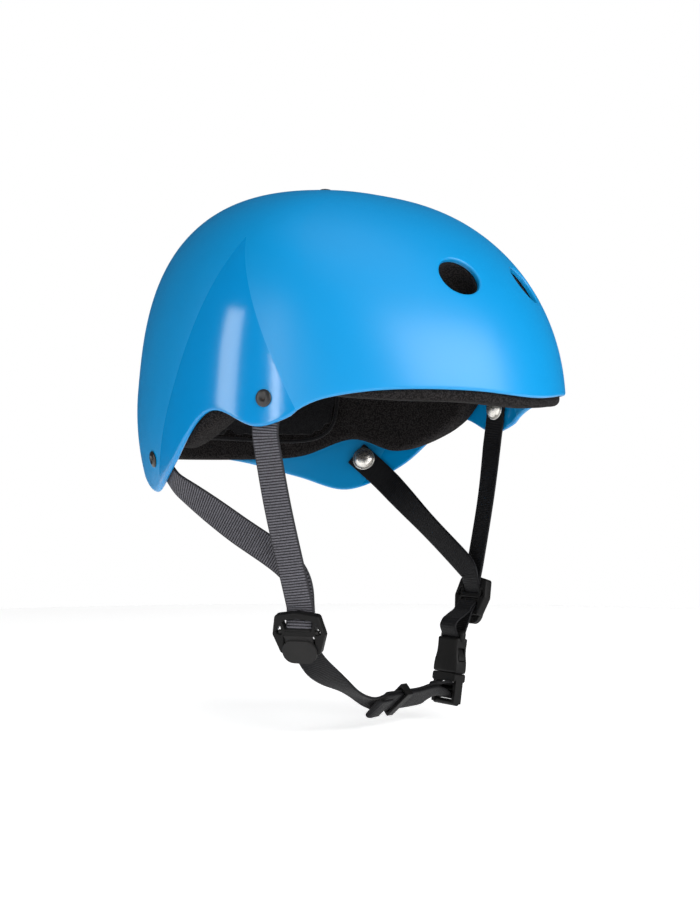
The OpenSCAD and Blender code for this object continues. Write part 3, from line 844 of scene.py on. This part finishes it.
def webbing(name, stations, material, cup=0.0, soften=5.0, light=(SHADED, SHADED)):
    """Ribbed webbing along stations, with real ribs, a plain edge and closed ends; cup is how far it curls
    across its width, and light is the painted light and shade on its two faces, painted shade on both unless
    given."""
    pitch = RIB_PITCH / 6
    run = even_run(stations, pitch, soften)
    centre, across = run[:, :3], unit(run[:, 3:])
    along = unit(np.gradient(centre, axis=0))
    across = unit(across - along * np.sum(across * along, 1, keepdims=True))
    normal = np.cross(along, across)
    half = WEB_T / 2 * SECTION_T
    around_u = np.concatenate([SECTION_U, SECTION_U[::-1]])
    around_h = np.concatenate([half, -half[::-1]])
    around_r = np.concatenate([SECTION_RIB, SECTION_RIB])
    sign = np.sign(around_h)
    phase = np.arange(len(run)) * pitch / RIB_PITCH
    points, rib_painted_light = [], []
    for i in range(len(run)):
        rib = np.where(sign > 0, abs(math.sin(math.pi * phase[i])), abs(math.cos(math.pi * phase[i])))
        rise = around_h + sign * RIB_HEIGHT * rib * around_r + cup * (around_u**2 - 0.3)
        points += list(centre[i] + np.outer(around_u * WEB_W / 2, across[i]) + np.outer(rise, normal[i]))
        # Painted light: a highlight on each rib crest, shade in each groove, a mid value on the plain edge,
        # all dimmed on a face painted shaded.
        tone = rib * around_r + EDGE_PAINTED_LIGHT * (1 - around_r)
        rib_painted_light += list(tone * np.where(sign > 0, light[0], light[1]))
    size, faces = len(around_u), []
    for i in range(len(run) - 1):
        faces += ring_quads(i * size, (i + 1) * size, size)
    faces += [tuple(range(size)), tuple(range((len(run) - 1) * size, len(run) * size))]
    piece = new_piece(name, points, faces, material, 70, {"rib": rib_painted_light})
    return piece


def threaded(drop, seat, across):
    """The end of a strap that passes behind the divider's top bar and comes forward into its slot."""
    return [six(on_divider(drop, [x, 0, z]), across)
            for x, z in ((seat, 12), (seat, 9.5), (seat * 0.3, 6.4), (seat * 0.1 + 0.5, 2.4))]


def hanging(drop, seat):
    """The start of a strap that comes out of the divider's window and passes behind its bottom bar."""
    down = posed([0, -1, 0], LEAN)
    return [six(on_divider(drop, [x, 0, z]), down)
            for x, z in ((seat + 3.2, -2.6), (seat + 1.2, -5.2), (seat, -8.5))]


def front_strap_run(drop):
    """The riveted end and the hanging run of the left front strap, to a divider that hangs lower by drop."""
    tab = tab_run([(FRONT_RIVET[0], 2.9 - 1.475 * k) for k in range(5)])
    leave = unit(tab[4][:3] - tab[3][:3])
    top, neck = tab[4][:3] + leave * 1.2, on_divider(drop, [WEB_SEAT, 0, 16])
    middle = top + (neck - top) * 0.45 + np.array([1.5, 0, 0])
    down = posed([0, -1, 0], LEAN)
    hang = smooth([six(top, -tab[4][3:]), six(middle, down), six(neck, down)]
                  + threaded(drop, WEB_SEAT, down), 12)
    return tab[:4], hang


def rear_strap_run(drop, merge_up):
    """The same for the left rear strap, which meets the front one merge_up above the divider."""
    steps = [0.925 * i - 1 for i in range(5)]
    tab = tab_run([(REAR_RIVET[0] - 3.4 * k, REAR_RIVET[1] - 1.25 * k) for k in steps])
    leave = unit(tab[4][:3] - tab[3][:3])
    top = tab[4][:3] + leave * 1.2
    merge = on_divider(drop, [REAR_SEAT - 2.6, 4, merge_up])
    slant = unit(np.cross(merge - top, [1, 0, 0.2]))
    slant *= 1 if slant @ tab[4][3:] > 0 else -1
    level = posed([0, -1, 0], LEAN)
    level *= 1 if slant @ level > 0 else -1
    hang = smooth([six(top, tab[4][3:]), six(top + (merge - top) * 0.5, slant),
                   six(merge, slant + level * 0.6)] + threaded(drop, REAR_SEAT, level), 12)
    return tab[:4], hang


def mirrored(run):
    return [np.concatenate([s[:3] * MIRROR, s[3:] * MIRROR]) for s in run]


def make_side_straps(material):
    """Two straps a side, each riveted inside the shell and bending where it leaves it."""
    for side, drop, merge_up in (("right", RIGHT_DROP, RIGHT_MERGE), ("left", 0.0, LEFT_MERGE)):
        for end, (tab, hang) in (("front", front_strap_run(drop)), ("rear", rear_strap_run(drop, merge_up))):
            if side == "right":
                tab, hang = mirrored(tab), mirrored(hang)
            cup = 0.35 if end == "front" else 0.2
            # The face that looks outwards is painted lit and the inner face is painted shaded.
            light = (SHADED, LIT) if side == "right" else (LIT, SHADED)
            strap = webbing(f"{side}_{end}_webbing", list(tab) + list(hang), material, cup=cup, light=light)
            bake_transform(strap)
            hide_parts(f"{side}_{end}_strap", "strap_tabs")


def make_chin_strap(material):
    """The single run from the right divider, and the doubled run through keeper and ladder lock."""
    head = mirrored(hanging(RIGHT_DROP, WEB_SEAT - 0.3))
    rest = [six([-60, -33, -133], [0.1, -0.85, 0.5]), six([-47, -32, -141], [0.0, -0.9, 0.4]),
            six([-31, -31.5, -149], [-0.3, -0.94, 0.1]), six([-17, -31.5, -154.6], [-0.3, -0.9, 0.25]),
            doubled(-6, 1)]
    # The chin and loop webbing get painted shade on both faces.
    strap = webbing("chin_webbing", smooth(head + rest, 10), material, cup=0.25)
    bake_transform(strap)
    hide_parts("chin_strap")

    lead = [doubled(x, 1) for x in (-6, 8, 22)] + [doubled(36, 1, 1.6)]
    lead += [six([46.5, -31.5, -151.2], NEAR_BUCKLE)]
    across = posed([0, -1, 0], BUCKLE_LEAN)
    wrap = [six(on_buckle([3.0 * math.cos(a), 0, -10.1 + 3.9 * math.sin(a)]), across)
            for a in np.radians(np.linspace(110, -90, 8))]
    tail = [six(on_buckle([-4.5, 0, -12.6]), across), doubled(36, -1, 0.7), doubled(22, -1), doubled(8, -1)]
    fold = [doubled(x, layer)
            for x, layer in ((-5, -1.2), (-12.5, -1.9), (-14.8, -3.2), (-12.8, -4.5), (-5, -4.2))]
    run = list(smooth(lead, 10)) + wrap + list(smooth(tail + fold, 8))
    strap = webbing("chin_webbing_doubled", run, material, soften=2.0)
    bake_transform(strap)
    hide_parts("chin_strap_lead", "chin_strap_tail")


def make_loop_strap(material):
    """Webbing that hangs the buckle's socket from the left divider, folded round its bar and slack inside."""
    wrap, bar = 1.5 + WEB_T / 2 + 0.3, 22.2
    across = posed([0, -1, 0], BUCKLE_LEAN)
    run = hanging(0, WEB_SEAT)
    run += [six(on_buckle([wrap * math.cos(a), 0, bar - wrap * math.sin(a)]), across)
            for a in np.radians(np.arange(45, 191, 15))]
    run += [six(on_buckle([-x, 0, bar + z]), across) for x, z in ((4.4, 2.2), (4.6, 4.6), (2.8, 7.4))]
    run += hanging(0, REAR_SEAT)[::-1]
    loop = webbing("socket_loop_webbing", run, material, soften=2.5)
    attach(loop, "chin_run")
    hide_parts("socket_loop_strap")


# ---- rivets ----

def make_rivets(enamel, nickel):
    """The four strap rivets' outer heads and inner caps, and the stud on the crown."""
    both = [(s * t, p) for t, p in (FRONT_RIVET, REAR_RIVET) for s in (1, -1)]
    head = [(0, 0.7), (0.8, 0.75), (1.3, 1.2)]
    head += [(4.4 * math.sin(a), 0.5 + 1.1 * math.cos(a)) for a in np.radians(np.arange(28, 81, 8))]
    head += arc((4.2, 0.42), 0.24, 40, -90, 5) + [(2.2, 0.18), (2.2, -7.6), (0, -7.6)]
    heads = lathed("rivet_heads", head, both, enamel)
    seat = -(WEB_DEPTH + WEB_T / 2 + 0.6)
    cap = [(0, seat - 3.4)]
    cap += [(5.4 * math.sin(a), seat - 0.9 - 2.5 * math.cos(a)) for a in np.radians(np.arange(10, 86, 8))]
    cap += [(5.5, seat - 0.75)] + arc((6.4, seat - 0.35), 0.35, -90, 90, 6) + [(0, seat)]
    caps = lathed("rivet_caps_nickel", cap, both, nickel)
    stud = [(0, 2.8)]
    stud += [(4.6 * math.sin(a), 0.6 + 2.2 * math.cos(a)) for a in np.radians(np.arange(8, 89, 8))]
    stud += arc((4.45, 0.45), 0.15, 20, -90, 3) + [(2.2, 0.3), (2.2, -12), (0, -12)]
    top = lathed("crown_stud", stud, [CROWN_STUD], nickel)
    for piece, node, slot in ((heads, "strap_rivets", "rivet_black"), (caps, "rivet_caps", "nickel"),
                              (top, "crown_rivet", "nickel")):
        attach(piece, "helmet")
        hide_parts(node)


# ---- divider, keeper and buckle ----

def rounded(corners, r, steps=7):
    """A convex outline with round corners, from corner centres in anticlockwise order."""
    n, outline = len(corners), []
    for i, (x, y) in enumerate(corners):
        before, after = corners[i - 1], corners[(i + 1) % n]
        a = math.atan2(before[0] - x, y - before[1])
        b = math.atan2(x - after[0], after[1] - y)
        while b < a:
            b += 2 * math.pi
        outline += [(x + r * math.cos(a + (b - a) * k / steps), y + r * math.sin(a + (b - a) * k / steps))
                    for k in range(steps + 1)]
    return outline


def plate(name, outlines, low, high, bevel, pose, material):
    """A plate with holes and rounded edges: outlines lie rearwards and up, low to high is outwards."""
    data = bpy.data.curves.new(name, "CURVE")
    data.dimensions, data.fill_mode = "2D", "BOTH"
    data.extrude, data.bevel_depth, data.bevel_resolution = (high - low) / 2 - bevel, bevel, 3
    data.offset = -bevel
    for outline in outlines:
        spline = data.splines.new("POLY")
        spline.points.add(len(outline) - 1)
        spline.use_cyclic_u = True
        for point, (a, b) in zip(spline.points, outline):
            point.co = (a, b, 0, 1)
    curve = bpy.data.objects.new(name, data)
    bpy.context.scene.collection.objects.link(curve)
    bpy.context.view_layer.update()
    mesh = bpy.data.meshes.new_from_object(curve.evaluated_get(bpy.context.evaluated_depsgraph_get()))
    local = np.array([v.co for v in mesh.vertices])
    faces = [tuple(p.vertices) for p in mesh.polygons]
    bpy.data.objects.remove(curve)
    points = pose(np.stack([local[:, 2] + (low + high) / 2, local[:, 0], local[:, 1]], 1))
    piece = new_piece(name, points, faces, material)
    bm = bmesh.new()
    bm.from_mesh(piece.data)
    bmesh.ops.remove_doubles(bm, verts=bm.verts, dist=1e-6)
    bmesh.ops.recalc_face_normals(bm, faces=bm.faces)
    bm.to_mesh(piece.data)
    bm.free()
    piece.data.set_sharp_from_angle(angle=math.radians(SHARP))
    bpy.data.meshes.remove(mesh)
    return piece


def softened(node, material, bevel):
    """Rounds the edges of a CAD node's shown surface and gives it a material."""
    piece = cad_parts[node]
    piece.data.materials.clear()
    piece.data.materials.append(material)
    weld = piece.modifiers.new("weld", "WELD")
    weld.merge_threshold = 0.00001
    planar = piece.modifiers.new("planar", "DECIMATE")
    planar.decimate_type, planar.angle_limit = "DISSOLVE", math.radians(1)
    edge = piece.modifiers.new("edge", "BEVEL")
    edge.width, edge.segments = bevel * MM, 3
    edge.limit_method, edge.angle_limit = "ANGLE", math.radians(35)
    piece.modifiers.new("normals", "WEIGHTED_NORMAL").keep_sharp = True
    piece.data.shade_smooth()
    return piece


SHARP = 32  # degrees, above which an edge of the hardware stays sharp

DIVIDER_CORNERS = [(-9.5, -8), (9.5, -8), (12.5, 0.5), (10.5, 9), (0, 10.5), (-10.5, 9), (-12.5, 0.5)]
SLOT_CORNERS = [(-6.5, 3.6), (6.5, 3.6), (7.5, 7), (0, 8), (-7.5, 7)]
WINDOW_CORNERS = [(-8, -6.5), (8, -6.5), (8, -1), (-8, -1)]
FRONT_EYE_CORNERS = [(-11.9, 1.6), (-9.9, 1.0), (-10.2, 4.4)]
REAR_EYE_CORNERS = [(9.9, 1.0), (11.9, 1.6), (10.2, 4.4)]


def make_dividers(plastic, lever_plastic):
    """The two strap dividers: a frame with a slot, a window and two small eyes, and its lever."""
    for side, drop in (("right", RIGHT_DROP), ("left", 0.0)):
        flip = MIRROR if side == "right" else np.ones(3)

        def pose(v, drop=drop, flip=flip):
            return on_divider(drop, v) * flip

        outlines = [rounded(DIVIDER_CORNERS, 2), rounded(SLOT_CORNERS, 1),
                    rounded(WINDOW_CORNERS, 0.6), rounded(FRONT_EYE_CORNERS, 0.6),
                    rounded(REAR_EYE_CORNERS, 0.6)]
        body = plate(side + "_divider_body", outlines, -DIVIDER_T / 2, DIVIDER_T / 2, 0.7, pose, plastic)
        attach(body, side + "_harness")
        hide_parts(side + "_divider_frame")
        softened(side + "_divider_lever", lever_plastic, 0.4)


def filleted(corners, steps=5):
    """A closed outline with rounded corners, each given as x, y and the reach of its rounding; it may turn
    inwards."""
    outline, n = [], len(corners)
    for i, (x, y, reach) in enumerate(corners):
        p, a, b = np.array([x, y]), np.array(corners[i - 1][:2]), np.array(corners[(i + 1) % n][:2])
        start, end = p + unit(a - p) * reach, p + unit(b - p) * reach
        outline += [tuple((1 - t)**2 * start + 2 * t * (1 - t) * p + t**2 * end)
                    for t in np.linspace(0, 1, steps)]
    return outline


def cut_box(piece, low, high):
    """Cuts a box, given in the buckle's own directions, out of a piece."""
    corners = on_buckle(np.array([[x, y, z] for x in (low[0], high[0]) for y in (low[1], high[1])
                                  for z in (low[2], high[2])], float))
    faces = [(0, 1, 3, 2), (4, 6, 7, 5), (0, 4, 5, 1), (2, 3, 7, 6), (0, 2, 6, 4), (1, 5, 7, 3)]
    cutter = new_piece("cutter", corners, faces, piece.data.materials[0])
    cut = piece.modifiers.new("cut", "BOOLEAN")
    cut.operation, cut.object, cut.solver = "DIFFERENCE", cutter, "EXACT"
    applied(piece)
    bpy.data.objects.remove(cutter)


def make_socket(plastic):
    """The socket: a waisted box, open below, with a window on each side and a bar for webbing above it."""
    half = [(11.2, -0.2, 1.6), (11.2, 5.5, 2.5), (9.2, 11.5, 3), (9.6, 19.6, 1.6)]
    outline = filleted(half + [(-y, z, reach) for y, z, reach in reversed(half)])
    body = plate("buckle_socket_body", [outline], -3.8, 3.8, 1.3, on_buckle, plastic)
    cut_box(body, (-2.3, -9, -1), (2.3, 9, 15.4))
    for side in (-1, 1):
        cut_box(body, (-2.1, min(side * 6, side * 14), 6.6), (2.1, max(side * 6, side * 14), 14))
    body.data.set_sharp_from_angle(angle=math.radians(SHARP))
    bar_outline = filleted([(10.4, 17.4, 1), (10.8, 24, 3), (-10.8, 24, 3), (-10.4, 17.4, 1)])
    gap = filleted([(8.2, 19.2, 0.6), (8.2, 20.7, 0.6), (-8.2, 20.7, 0.6), (-8.2, 19.2, 0.6)])
    bar = plate("buckle_socket_bar", [bar_outline, gap], -1.6, 1.6, 1.2, on_buckle, plastic)
    for piece in (body, bar):
        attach(piece, "chin_run")
    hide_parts("buckle_socket")


def make_buckle(plastic):
    """The buckle's socket, and its plug and prongs and the keeper with softened edges."""
    make_socket(plastic)
    softened("buckle_plug", plastic, 0.4)
    for node in ("front_prong", "rear_prong"):
        softened(node, plastic, 0.4)
    softened("strap_keeper", plastic, 0.35)


# ---- stage ----

FLOOR_R, FLOOR_GAP, BACKDROP_R, BACKDROP_CORNER = 0.9, 0.006, 4.0, 1.0  # metres


def glowing(name, colour, glow):
    """A matt material that also gives off an even light."""
    m = Nodes(name, colour, 0.9, Specular_IOR_Level=0.0)
    m.shader.inputs["Emission Color"].default_value = (1, 1, 1, 1)
    m.shader.inputs["Emission Strength"].default_value = glow
    return m.material


def stage_piece(name, points, faces, material):
    data = bpy.data.meshes.new(name)
    data.from_pydata(points, [], faces)
    data.shade_smooth()
    data.materials.append(material)
    piece = bpy.data.objects.new(name, data)
    bpy.context.scene.collection.objects.link(piece)
    return piece


def make_stage():
    """A round pale floor inside a pale backdrop that casts no light or reflection on the helmet."""
    low, count = cad_bounds[0][2] - FLOOR_GAP, 64
    around = [(math.cos(2 * math.pi * i / count), math.sin(2 * math.pi * i / count)) for i in range(count)]
    stage_piece("floor", [(FLOOR_R * x, FLOOR_R * y, low) for x, y in around], [tuple(range(count))],
                glowing("studio_floor", (0.85, 0.85, 0.85), 0.62))
    flat, corner, foot = BACKDROP_R - BACKDROP_CORNER, BACKDROP_CORNER, low - 0.02
    profile = [(0.01, foot), (flat, foot)]
    profile += [(flat + corner * math.sin(a), foot + corner - corner * math.cos(a))
                for a in np.linspace(0.2, math.pi / 2, 8)]
    profile += [(BACKDROP_R * math.cos(a), low + corner + BACKDROP_R * math.sin(a))
                for a in np.linspace(0.2, 1.5, 10)]
    points = [(r * x, r * y, z) for r, z in profile for x, y in around]
    faces = [f for k in range(len(profile) - 1) for f in ring_quads(k * count, (k + 1) * count, count)]
    backdrop = stage_piece("backdrop", points, faces, glowing("studio_backdrop", (0, 0, 0), 1.0))
    backdrop.visible_glossy = backdrop.visible_diffuse = backdrop.visible_shadow = False


def soft_light(name, place, size, watts):
    """A rectangular soft box that faces the helmet."""
    data = bpy.data.lights.new(name, "AREA")
    data.shape, data.size, data.size_y = "RECTANGLE", size[0], size[1]
    data.energy = watts
    light = bpy.data.objects.new(name, data)
    bpy.context.scene.collection.objects.link(light)
    light.location = place
    light.rotation_mode = "QUATERNION"
    light.rotation_quaternion = (-Vector(place)).to_track_quat("-Z", "Y")
    return light


def seen_in(place, distance):
    """Where a light stands that the camera sees mirrored at a place on the shell."""
    point, _, _, normal = skin_basis(place)
    view = unit(np.array(bpy.context.scene.camera.location) / MM - point)
    return Vector(point * MM + (2 * (normal @ view) * normal - view) * distance)


def make_lights():
    """A dim room, a large key and a top light, and two strips that the near side of the shell mirrors."""
    world = bpy.data.worlds.new("studio")
    world.use_nodes = True
    world.node_tree.nodes["Background"].inputs["Color"].default_value = (1, 1, 1, 1)
    world.node_tree.nodes["Background"].inputs["Strength"].default_value = 0.05
    bpy.context.scene.world = world
    soft_light("key_box", seen_in((-23, 15), 1.6), (2.0, 1.2), 37)
    top = soft_light("top_box", (-0.2, -0.3, 1.6), (1.4, 1.4), 12)
    top.visible_glossy = False
    soft_light("side_strip", seen_in((-69, 8), 1.3), (0.1, 1.0), 3)
    soft_light("side_box", seen_in((-84, 6), 1.4), (0.3, 0.8), 4)
    bpy.context.scene.view_settings.view_transform = "Standard"


make_camera()
make_shell(shell_paint())
make_liner(liner_foam())
make_pads(pad_cloth())
webbing_cloth = ribbed_webbing()
make_side_straps(webbing_cloth)
make_chin_strap(webbing_cloth)
make_loop_strap(webbing_cloth)
make_rivets(rivet_enamel(), nickel_plate())
hardware_plastic = moulded_plastic("hardware_plastic", 0.007, 0.45)
make_dividers(hardware_plastic, moulded_plastic("lever_plastic", 0.019, 0.55))
make_buckle(hardware_plastic)
make_stage()
make_lights()
